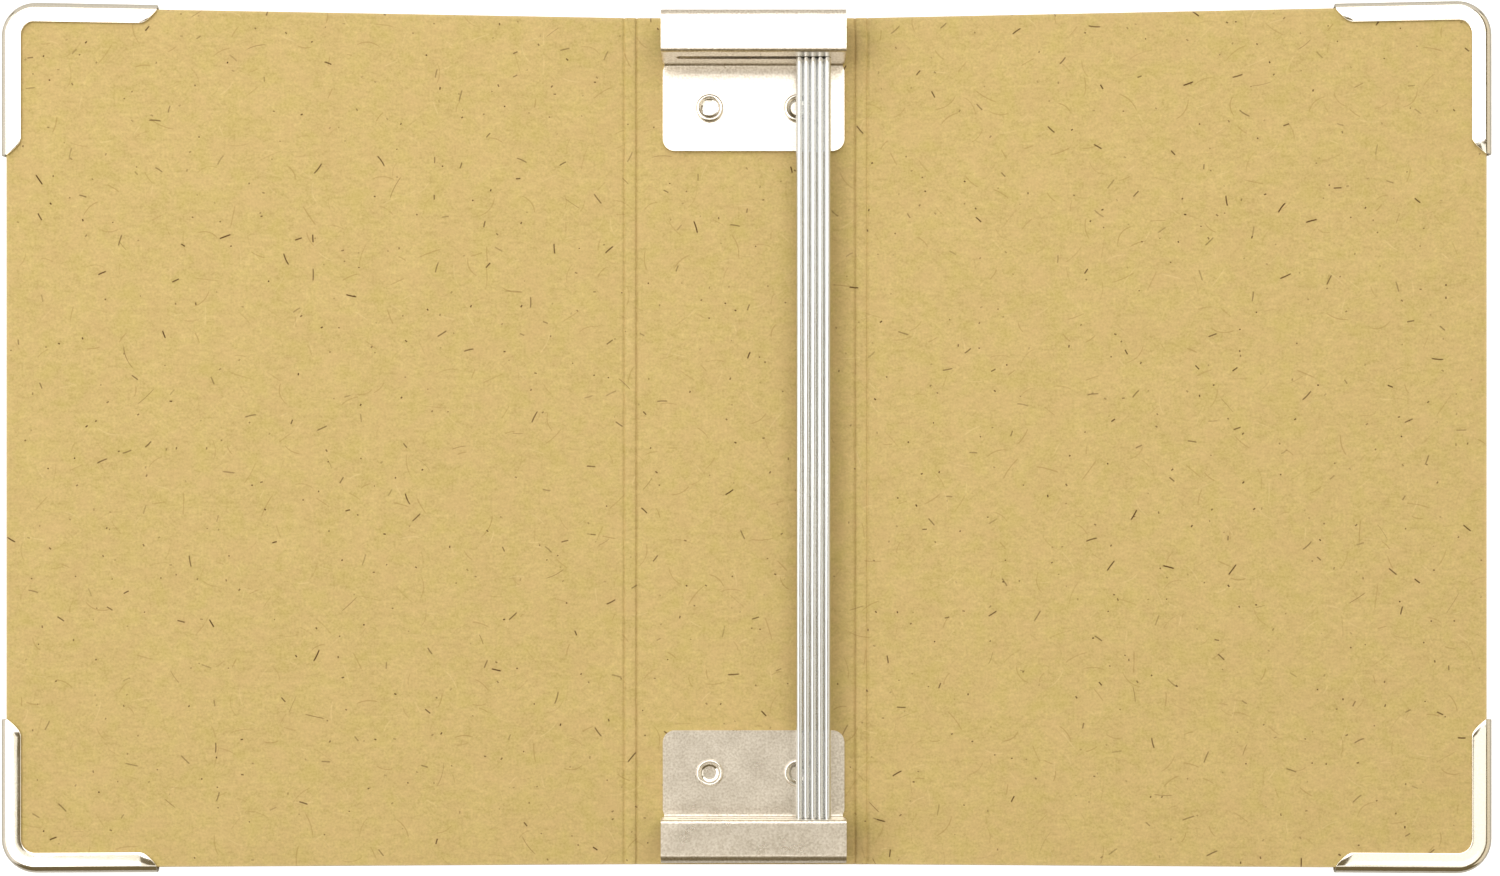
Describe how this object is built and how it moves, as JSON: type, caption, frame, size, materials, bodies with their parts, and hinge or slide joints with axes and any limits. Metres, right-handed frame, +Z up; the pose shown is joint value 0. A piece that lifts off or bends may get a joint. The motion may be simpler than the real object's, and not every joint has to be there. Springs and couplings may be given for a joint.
{
  "type": "rod binder album",
  "caption": "Kraft board album that lies open; steel rods in riveted spine brackets hold slim booklets by their folds, with metal corner protectors.",
  "frame": {"origin": "under the middle of the album, on the surface it lies on, which the four outer rivet heads touch", "axes": "+X from the front cover to the back cover, +Y along the spine to the top end, +Z up out of the open album"},
  "size_m": [0.2457, 0.1438, 0.0113],
  "materials": {
    "kraft_board": "matt, uncoated kraft surface with dark fibre flecks",
    "bracket_nickel": "satin nickel plate",
    "corner_nickel": "bright nickel plate",
    "rivet_nickel": "bright nickel plate",
    "rod_steel": "bright drawn wire"
  },
  "bodies": {
    "spine": {"spine_board": "kraft_board", "front_inner_crease": "kraft_board", "back_inner_crease": "kraft_board", "top_bracket": "bracket_nickel", "bottom_bracket": "bracket_nickel", "top_front_rivet": "rivet_nickel", "top_back_rivet": "rivet_nickel", "bottom_front_rivet": "rivet_nickel", "bottom_back_rivet": "rivet_nickel"},
    "front_strip": {"front_hinge_strip": "kraft_board", "front_outer_crease": "kraft_board"},
    "front_cover": {"front_cover_board": "kraft_board", "front_top_corner": "corner_nickel", "front_bottom_corner": "corner_nickel"},
    "back_strip": {"back_hinge_strip": "kraft_board", "back_outer_crease": "kraft_board"},
    "back_cover": {"back_cover_board": "kraft_board", "back_top_corner": "corner_nickel", "back_bottom_corner": "corner_nickel"},
    "rod_5_body": {"rod_5": "rod_steel"},
    "rod_4_body": {"rod_4": "rod_steel"},
    "rod_3_body": {"rod_3": "rod_steel"},
    "rod_2_body": {"rod_2": "rod_steel"},
    "rod_1_body": {"rod_1": "rod_steel"}
  },
  "joints": [
    {"name": "front_inner_fold", "type": "hinge", "parent": "spine", "child": "front_strip", "pos_m": [-0.0183, 0, 0.0026], "axis": [0, 1, 0], "range_deg": [-1.7, 43.3], "deforming": ["front_inner_crease"]},
    {"name": "front_outer_fold", "type": "hinge", "parent": "front_strip", "child": "front_cover", "pos_m": [-0.0204, 0, 0.00266], "axis": [0, 1, 0], "range_deg": [-1.7, 43.3], "deforming": ["front_outer_crease"]},
    {"name": "back_inner_fold", "type": "hinge", "parent": "spine", "child": "back_strip", "pos_m": [0.0183, 0, 0.0026], "axis": [0, -1, 0], "range_deg": [-1.95, 43.05], "deforming": ["back_inner_crease"]},
    {"name": "back_outer_fold", "type": "hinge", "parent": "back_strip", "child": "back_cover", "pos_m": [0.0204, 0, 0.00267], "axis": [0, -1, 0], "range_deg": [-1.95, 43.05], "deforming": ["back_outer_crease"]},
    {"name": "rod_5_slide", "type": "slide", "parent": "spine", "child": "rod_5_body", "axis": [-1, 0, 0], "range_m": [0, 0.0039]},
    {"name": "rod_4_slide", "type": "slide", "parent": "rod_5_body", "child": "rod_4_body", "axis": [-1, 0, 0], "range_m": [0, 0.0039]},
    {"name": "rod_3_slide", "type": "slide", "parent": "rod_4_body", "child": "rod_3_body", "axis": [-1, 0, 0], "range_m": [0, 0.0039]},
    {"name": "rod_2_slide", "type": "slide", "parent": "rod_3_body", "child": "rod_2_body", "axis": [-1, 0, 0], "range_m": [0, 0.0039]},
    {"name": "rod_1_slide", "type": "slide", "parent": "rod_2_body", "child": "rod_1_body", "axis": [-1, 0, 0], "range_m": [0, 0.0039]}
  ]
}
